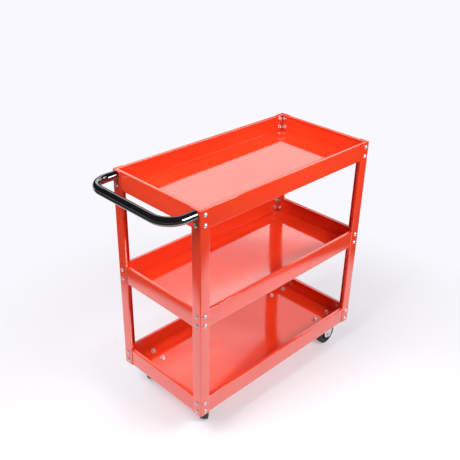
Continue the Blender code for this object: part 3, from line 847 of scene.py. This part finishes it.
def add_swivel_caster(corner, side):
    """Plate and rivet on the frame; balls, cup and fork on the swivel; then the wheel."""
    centre = caster_centre(corner)
    lift = Matrix.Translation(centre)
    turn = lift @ Matrix.Rotation(SWIVEL_HEADING, 4, "Z")
    body = "swivel_" + side
    plate = moved(plate_shape(), lift)
    add_piece("caster_top_plate_" + corner, plate, "zinc", "frame",
              ["swivel_plate_" + corner], smooth=30, bevel=EDGE_BEVEL)

    under = -GAP - PLATE_SHEET - GAP
    balls = []
    for index in range(BALL_COUNT):
        angle = 2 * math.pi * index / BALL_COUNT
        ball = bmesh.new()
        bmesh.ops.create_uvsphere(ball, u_segments=16, v_segments=10, radius=BALL_RADIUS)
        spot = (BALL_CIRCLE * math.cos(angle), BALL_CIRCLE * math.sin(angle),
                under - BALL_RADIUS)
        balls.append((ball, Matrix.Translation(spot)))
    add_piece("swivel_balls_" + corner, moved(gather(balls), turn), "zinc", body,
              ["ball_race_" + corner], smooth=60)

    floor = under - 2 * BALL_RADIUS - GAP
    outer = CUP_OUTER_RADIUS
    sheet = CUP_SHEET
    cup = [(0.0135, floor), (0.0135, floor - sheet)]
    cup += arc((outer - 0.0026, floor - sheet + 0.0026), 0.0026, 270, 360, 5)
    cup += [(outer, under - GAP), (outer - sheet, under - GAP)]
    cup += arc((outer - 0.0026, floor - sheet + 0.0026), 0.0011, 360, 270, 3)
    add_piece("swivel_race_cup_" + corner, moved(turned(cup, 64, closed=True), turn), "zinc",
              body, ["swivel_cup_" + corner], smooth=40)

    fork = carved(fork_channel(), [prism(fork_side_outline(), -0.0200, 0.0200, "XZY")],
                  "INTERSECT")
    holes = [turned([(0.0055, -0.02), (0.0055, 0.0)], 32)]
    axle = turned([(AXLE_HOLE_RADIUS, -0.03), (AXLE_HOLE_RADIUS, 0.03)], 32)
    holes.append(moved(axle, LIE_DOWN, Matrix.Translation((SWIVEL_TRAIL, 0, -AXLE_DROP))))
    add_piece("fork_" + corner, moved(carved(fork, holes), turn), "zinc", body,
              ["swivel_fork_" + corner], smooth=30, bevel=EDGE_BEVEL)

    low = -crown_depth() - FORK_SHEET - GAP
    pin = [(0.0040, low - 0.0030), (0.0066, low - 0.0026), (0.0085, low - 0.0012),
           (0.0090, low - 0.0002), (0.0088, low), (0.0050, low), (0.0050, -0.0006)]
    add_piece("swivel_rivet_" + corner, moved(turned(pin, 40), lift), "zinc", "frame",
              ["kingpin_" + corner], smooth=40)
    axle_spot = turn @ Vector((SWIVEL_TRAIL, 0, -AXLE_DROP))
    add_wheel(corner, axle_spot, SWIVEL_HEADING, "swivel_wheel_" + side, body)


def bracket_leg_outline():
    """Side view of a rigid bracket's leg: wide at the plate, round below the axle."""
    end = -AXLE_DROP - 0.010
    corner = 0.012
    top = -GAP - PLATE_SHEET + 0.001
    outline = [(-0.024, top), (-0.0236, top - 0.006), (-0.0205, top - 0.020)]
    outline += [(-0.0190, -AXLE_DROP + 0.008)]
    outline += arc((-0.018 + corner, end + corner), corner, 184, 270, 8)
    outline += arc((0.018 - corner, end + corner), corner, 270, 356, 8)
    outline += [(0.0190, -AXLE_DROP + 0.008)]
    outline += [(0.0205, top - 0.020), (0.0236, top - 0.006), (0.024, top)]
    return outline


def add_rigid_caster(corner, side):
    """One bracket of plate, legs and pressed beads, with the wheel straight below."""
    centre = caster_centre(corner)
    lift = Matrix.Translation(centre)
    inside = FORK_INSIDE / 2
    legs = []
    for sign in (-1, 1):
        outside = inside + FORK_SHEET
        low, high = sorted((sign * inside, sign * outside))
        leg = prism(bracket_leg_outline(), low, high, "XZY")
        low, high = sorted((sign * (outside - 0.0005), sign * (outside + GAP)))
        bead = prism(arc((0, -AXLE_DROP), 0.0085, 0, 360, 24)[:-1], low, high, "XZY")
        legs.append(carved(leg, [bead], "UNION"))
    shape = carved(plate_shape(), legs, "UNION")
    add_piece("caster_bracket_" + corner, moved(shape, lift), "zinc", "frame",
              ["rigid_bracket_" + corner], smooth=30, bevel=EDGE_BEVEL)
    axle_spot = centre + Vector((0, 0, -AXLE_DROP))
    add_wheel(corner, axle_spot, 0.0, "rigid_wheel_" + side, "frame")


# ---- studio --------------------------------------------------------------------------------
def add_stage():
    """Pale floor that lights itself more and more away from the cart."""
    shape = bmesh.new()
    reach = FLOOR_REACH
    corners = [(-reach, -reach), (reach, -reach), (reach, reach), (-reach, reach)]
    shape.faces.new([shape.verts.new((x, y, 0.0)) for x, y in corners])
    mesh = bpy.data.meshes.new("studio_floor")
    shape.to_mesh(mesh)
    shape.free()
    floor = bpy.data.objects.new("studio_floor", mesh)
    bpy.context.scene.collection.objects.link(floor)
    paint = Paint("studio_floor", Roughness=0.55)
    paint.set_color(paint.ramp(paint.noise(1.2), (
        (0.3, (0.84, 0.85, 0.88)), (0.7, (0.86, 0.87, 0.90)))))
    glow = paint.nodes.new("ShaderNodeEmission")
    glow.inputs["Color"].default_value = STUDIO_WHITE
    mix = paint.nodes.new("ShaderNodeMixShader")
    share = paint.fade_out(GLOW_SHARE, 1.0, GLOW_START, GLOW_END)
    paint.links.new(share, mix.inputs["Fac"])
    paint.links.new(paint.shader.outputs["BSDF"], mix.inputs[1])
    paint.links.new(glow.outputs["Emission"], mix.inputs[2])
    paint.links.new(mix.outputs["Shader"], paint.nodes["Material Output"].inputs["Surface"])
    mesh.materials.append(paint.material)


def add_area_light(name, location, target, size, energy):
    light = bpy.data.lights.new(name, "AREA")
    light.shape = "RECTANGLE"
    light.size, light.size_y = size
    light.energy = energy
    item = bpy.data.objects.new(name, light)
    item.location = location
    aim = Vector(target) - Vector(location)
    item.rotation_euler = aim.to_track_quat("-Z", "Y").to_euler()
    item.visible_camera = False
    bpy.context.scene.collection.objects.link(item)
    return item


def add_lights():
    """World that only the camera sees, soft boxes, and fills that gloss doesn't show."""
    world = bpy.data.worlds.new("studio")
    world.use_nodes = True
    background = world.node_tree.nodes["Background"]
    background.inputs["Color"].default_value = STUDIO_WHITE
    bpy.context.scene.world = world
    world.cycles_visibility.diffuse = False
    world.cycles_visibility.glossy = False
    middle = (0.0, 0.0, 0.5)
    add_area_light("front_softbox", (0.25, -1.25, 1.25), (0.0, 0.0, 0.6), (0.8, 0.5), 20)
    add_area_light("front_end_softbox", (2.4, -0.6, 2.8), middle, (1.2, 1.2), 15)
    for index, energy in enumerate((13.0, 6.6, 4.1)):
        add_area_light(f"back_strip_{index}", (2.7, 2.5, 2.5 + 0.6 * index), (0.0, 0.0, 1.3),
                       (5.0, 0.6), energy)
    fills = [
        add_area_light("handle_end_softbox", (-1.15, 0.0, 1.95), middle, (0.9, 0.6), 11),
        add_area_light("handle_end_flood", (-2.2, 0.15, 2.6), middle, (1.4, 1.4), 64),
        add_area_light("left_softbox", (-0.6, 2.2, 2.6), middle, (1.2, 1.2), 22),
        add_area_light("overhead_softbox", (0.1, 0.1, 2.6), middle, (0.8, 0.8), 8),
    ]
    for fill in fills:
        fill.visible_glossy = False
    add_dark_cards()


def add_dark_cards():
    """Dark board on the floor, hidden from the camera but not from gloss and bounced light."""
    shape = bmesh.new()
    rings = []
    for radius in (LIT_RADIUS - LIT_FADE, CARD_REACH):
        ring = []
        for step in range(CARD_STEPS + 1):
            angle = math.radians(CARD_START + CARD_SWEEP * step / CARD_STEPS)
            spot = (BODY_MID_X + radius * math.cos(angle), radius * math.sin(angle),
                    CARD_HEIGHT)
            ring.append(shape.verts.new(spot))
        rings.append(ring)
    inner, outer = rings
    for i in range(CARD_STEPS):
        shape.faces.new((inner[i], outer[i], outer[i + 1], inner[i + 1]))
    mesh = bpy.data.meshes.new("dark_cards")
    shape.to_mesh(mesh)
    shape.free()
    cards = bpy.data.objects.new("dark_cards", mesh)
    bpy.context.scene.collection.objects.link(cards)
    card = Paint("dark_card", Base_Color=(0.06, 0.06, 0.06, 1.0), Roughness=1.0,
                 Specular_IOR_Level=0.0)
    fade = card.fade_out(0.0, 1.0, LIT_RADIUS - LIT_FADE, LIT_RADIUS + LIT_FADE)
    card.links.new(fade, card.shader.inputs["Alpha"])
    mesh.materials.append(card.material)
    cards.visible_camera = False
    cards.visible_shadow = False


def add_camera():
    """Lens and place solved from the object's straight edges."""
    azimuth = math.radians(-46.29)
    elevation = math.radians(29.21)
    roll = math.radians(1.70)
    position = Vector((-1.3303 + BODY_MID_X, -1.2512, 1.4089 + BASE_Z))
    right = Vector((math.cos(azimuth), math.sin(azimuth), 0))
    back = Vector((math.sin(azimuth) * math.cos(elevation),
                   -math.cos(azimuth) * math.cos(elevation), math.sin(elevation)))
    up = back.cross(right)
    side = right * math.cos(roll) + up * math.sin(roll)
    top = up * math.cos(roll) - right * math.sin(roll)
    data = bpy.data.cameras.new("photo_camera")
    data.sensor_width = 36.0
    data.lens = 53.04052
    data.shift_x = -0.0231304
    data.shift_y = 0.0167174
    data.clip_end = 60.0
    camera = bpy.data.objects.new("photo_camera", data)
    matrix = Matrix((side, top, back)).transposed().to_4x4()
    matrix.translation = position
    camera.matrix_world = matrix
    bpy.context.scene.collection.objects.link(camera)
    bpy.context.scene.camera = camera


# ---- assembly ------------------------------------------------------------------------------
bpy.context.scene.view_settings.view_transform = "Standard"
add_trays()
add_posts()
add_handle()
add_frame_fasteners()
add_caster_fasteners()
for corner_name in CORNERS:
    end_name, side_name = corner_name.split("_")
    if end_name == "handle":
        add_swivel_caster(corner_name, side_name)
    else:
        add_rigid_caster(corner_name, side_name)
add_stage()
add_lights()
add_camera()
